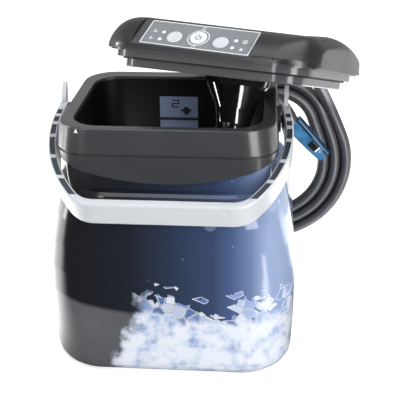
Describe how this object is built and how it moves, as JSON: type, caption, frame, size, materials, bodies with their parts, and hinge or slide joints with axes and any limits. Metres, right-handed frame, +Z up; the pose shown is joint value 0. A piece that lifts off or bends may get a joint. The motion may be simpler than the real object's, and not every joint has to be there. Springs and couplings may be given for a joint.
{
  "type": "cold therapy cooler",
  "caption": "Insulated ice cooler with a bail handle and a lift-off lid that carries a pump column, a sloping button panel and a coiled hose with a connector.",
  "frame": {"origin": "middle of the cooler's base, on the ground plane", "axes": "+Z up; the grip of the handle and the long side of the rim face -Y (front); +X to the right seen from the front; the hose hangs behind, at +Y"},
  "size_m": [0.32, 0.2515, 0.3573],
  "materials": {
    "shell": "wraparound print under a clear gloss coat",
    "foam": "moulded insulating foam",
    "tub": "vacuum formed, semi-gloss",
    "collar": "satin moulded",
    "label": "printed film",
    "pin": "satin moulded",
    "pad": "matt",
    "bail": "light grey gloss",
    "inlay": "matt soft inlays",
    "cover": "satin moulded",
    "lid_base": "semi-gloss moulded",
    "gasket": "matt",
    "bezel": "satin",
    "overlay": "printed film",
    "lens": "milky light pipes",
    "board": "laminate",
    "switch": "bright",
    "pump_can": "moulded",
    "valve": "moulded",
    "tube": "translucent soft tube",
    "inlet": "moulded",
    "column": "polished moulded",
    "housing": "moulded",
    "motor": "rolled can",
    "strainer": "moulded slats",
    "gland": "matt",
    "hose": "satin multi-channel hose",
    "connector": "blue moulded",
    "connector_button": "moulded",
    "power_key": "moulded",
    "side_key": "moulded",
    "rotor": "moulded"
  },
  "bodies": {
    "cooler": {"outer_shell": "shell", "insulation_foam": "foam", "inner_tub": "tub", "rim_collar": "collar", "fill_label": "label", "pivot_pin_left": "pin", "pivot_pin_right": "pin", "base_pads": "pad"},
    "handle": {"handle_bail": "bail", "handle_inlays_left": "inlay", "handle_inlays_right": "inlay"},
    "lid": {"lid_cover": "cover", "lid_base": "lid_base", "lid_plug": "lid_base", "lid_gasket": "gasket", "panel_bezel": "bezel", "panel_overlay": "overlay", "indicator_lenses": "lens", "control_board": "board", "dome_switches": "switch", "air_pump": "pump_can", "valve_block": "valve", "air_tube": "tube", "power_inlet": "inlet", "pump_column": "column", "pump_housing": "housing", "pump_motor": "motor", "pump_strainer": "strainer", "hose_gland": "gland", "hose_lead": "hose", "hose_coil": "hose", "hose_tail": "hose", "connector_body": "connector"},
    "cold_key": {"cold_button": "side_key"},
    "power_key": {"power_button": "power_key"},
    "compression_key": {"compression_button": "side_key"},
    "connector_key": {"connector_button": "connector_button"},
    "impeller": {"pump_impeller": "rotor"}
  },
  "joints": [
    {"name": "handle_hinge", "type": "hinge", "parent": "cooler", "child": "handle", "pos_m": [0, -0.002, 0.249], "axis": [-1, 0, 0], "range_deg": [0, 45]},
    {"name": "lid_lift", "type": "slide", "parent": "cooler", "child": "lid", "axis": [0, 0, 1], "range_m": [0, 0.25]},
    {"name": "cold_press", "type": "slide", "parent": "lid", "child": "cold_key", "axis": [0.1564, 0.3977, -0.9041], "range_m": [0, 0.0008], "stiffness_N_per_m": 600},
    {"name": "power_press", "type": "slide", "parent": "lid", "child": "power_key", "axis": [0.1564, 0.3977, -0.9041], "range_m": [0, 0.0008], "stiffness_N_per_m": 600},
    {"name": "compression_press", "type": "slide", "parent": "lid", "child": "compression_key", "axis": [0.1564, 0.3977, -0.9041], "range_m": [0, 0.0008], "stiffness_N_per_m": 600},
    {"name": "connector_press", "type": "slide", "parent": "lid", "child": "connector_key", "axis": [0, 1, 0], "range_m": [0, 0.0015], "stiffness_N_per_m": 600},
    {"name": "impeller_spin", "type": "hinge", "parent": "lid", "child": "impeller", "pos_m": [0.04633, -0.04774, 0.10846], "axis": [0.0981, 0.2971, 0.9498], "continuous": true}
  ]
}
